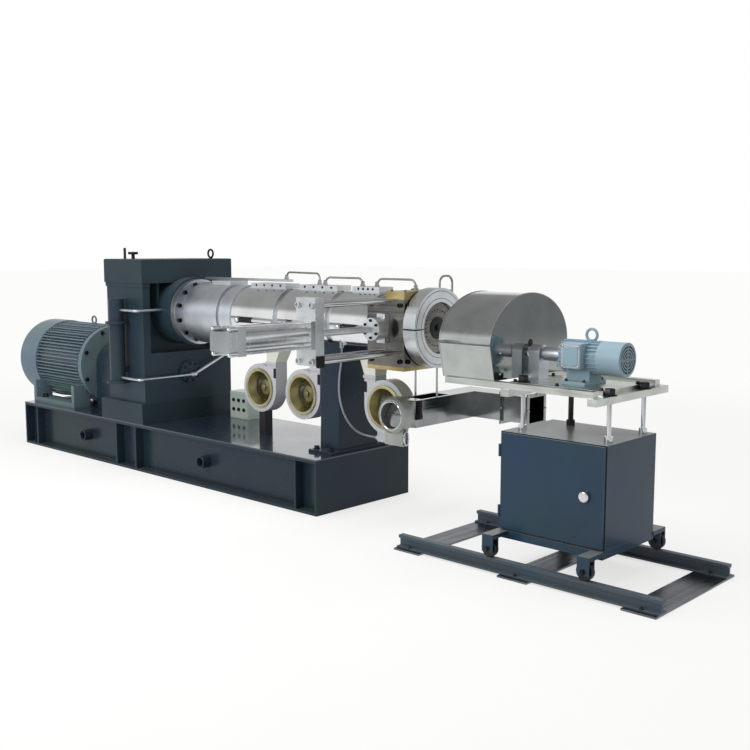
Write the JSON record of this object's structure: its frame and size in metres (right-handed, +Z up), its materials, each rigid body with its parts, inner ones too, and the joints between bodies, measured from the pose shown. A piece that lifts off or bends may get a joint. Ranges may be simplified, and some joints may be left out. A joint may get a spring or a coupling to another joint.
{
  "type": "plastic extruder",
  "caption": "Single-screw plastic extruder on a beam base, with drive motor, gearbox, air-cooled barrel, hydraulic screen changer and a die-face cutter cart on rails.",
  "frame": {"origin": "on the floor under the barrel axis, at the middle of the base's length, on the foot of the middle cross member", "axes": "+X from the drive motor to the die, +Y to the back, +Z up"},
  "size_m": [5.756, 1.851, 1.527],
  "materials": {
    "base_paint": "semi-gloss enamel",
    "gearbox_paint": "semi-gloss enamel",
    "motor_paint": "semi-gloss enamel",
    "cutter_motor_paint": "semi-gloss enamel",
    "cabinet_paint": "powder coat",
    "bare_steel": "machined",
    "dark_steel": "oiled black",
    "polished_stainless": "polished sheet",
    "bright_chrome": "plated",
    "heater_brass": "heat-tinted",
    "zinc_plate": "zinc plated",
    "blower_grey": "light grey enamel",
    "yellow_passivated": "yellow passivated zinc",
    "grey_cable": "matt sheath"
  },
  "bodies": {
    "machine": {"base_front_beam": "base_paint", "base_back_beam": "base_paint", "base_cross_members": "base_paint", "base_deck": "base_paint", "main_motor_frame": "motor_paint", "main_motor_cowl": "motor_paint", "main_motor_end_shield": "motor_paint", "coupling_guard": "base_paint", "gearbox_plinth": "base_paint", "gearbox_housing": "gearbox_paint", "gearbox_lid": "gearbox_paint", "gearbox_fittings": "bare_steel", "oil_cooler": "gearbox_paint", "oil_pipes": "bare_steel", "output_lantern": "gearbox_paint", "barrel": "bare_steel", "feed_throat": "bare_steel", "heater_covers": "polished_stainless", "terminal_boxes": "polished_stainless", "wiring_trough": "polished_stainless", "heater_conduits": "bare_steel", "support_column": "base_paint", "blowers": "blower_grey", "blower_inlets": "yellow_passivated", "blower_boots": "blower_grey", "blower_cable": "grey_cable", "blower_stand": "dark_steel", "junction_box": "blower_grey", "screen_changer_body": "bare_steel", "changer_heaters": "heater_brass", "tie_bars": "bare_steel", "cylinder_yoke": "bare_steel", "hydraulic_cylinder": "dark_steel", "die_clamp": "bare_steel", "die_plate": "dark_steel", "pellet_duct": "polished_stainless", "duct_collar": "polished_stainless", "duct_hangers": "bare_steel", "rail_front": "dark_steel", "rail_back": "dark_steel", "rail_ties": "dark_steel"},
    "slide": {"screen_slide": "bare_steel"},
    "cart": {"cart_cabinet": "cabinet_paint", "cart_underframe": "cabinet_paint", "guide_posts": "bright_chrome", "jack_screw": "dark_steel", "table_frame": "zinc_plate", "motor_plate": "zinc_plate", "cutter_motor": "cutter_motor_paint", "cutter_hood": "polished_stainless", "rotor_bearing": "bare_steel"},
    "door": {"cabinet_door": "cabinet_paint", "door_knob": "bright_chrome"},
    "rotor": {"cutter_rotor": "bare_steel"},
    "wheel_front_left": {"caster_wheel_front_left": "dark_steel"},
    "wheel_back_left": {"caster_wheel_back_left": "dark_steel"},
    "wheel_front_right": {"caster_wheel_front_right": "dark_steel"},
    "wheel_back_right": {"caster_wheel_back_right": "dark_steel"}
  },
  "joints": [
    {"name": "cart_travel", "type": "slide", "parent": "machine", "child": "cart", "axis": [1, 0, 0], "range_m": [-0.38, 0.3]},
    {"name": "screen_shift", "type": "slide", "parent": "machine", "child": "slide", "axis": [0, -1, 0], "range_m": [0, 0.23]},
    {"name": "door_swing", "type": "hinge", "parent": "cart", "child": "door", "pos_m": [2.95, -0.422, 0.42], "axis": [0, 0, -1], "range_deg": [0, 105]},
    {"name": "rotor_spin", "type": "hinge", "parent": "cart", "child": "rotor", "pos_m": [2.7, -0.155, 1.017], "axis": [1, 0, 0], "continuous": true},
    {"name": "wheel_front_left_spin", "type": "hinge", "parent": "cart", "child": "wheel_front_left", "pos_m": [2.97, -0.517, 0.113], "axis": [0, 1, 0], "continuous": true},
    {"name": "wheel_back_left_spin", "type": "hinge", "parent": "cart", "child": "wheel_back_left", "pos_m": [2.97, 0.137, 0.113], "axis": [0, 1, 0], "continuous": true},
    {"name": "wheel_front_right_spin", "type": "hinge", "parent": "cart", "child": "wheel_front_right", "pos_m": [3.49, -0.517, 0.113], "axis": [0, 1, 0], "continuous": true},
    {"name": "wheel_back_right_spin", "type": "hinge", "parent": "cart", "child": "wheel_back_right", "pos_m": [3.49, 0.137, 0.113], "axis": [0, 1, 0], "continuous": true}
  ],
  "couplings": [
    {"joint": "wheel_front_left_spin", "follows": "cart_travel", "rad_per_m": 23.81},
    {"joint": "wheel_back_left_spin", "follows": "cart_travel", "rad_per_m": 23.81},
    {"joint": "wheel_front_right_spin", "follows": "cart_travel", "rad_per_m": 23.81},
    {"joint": "wheel_back_right_spin", "follows": "cart_travel", "rad_per_m": 23.81}
  ]
}
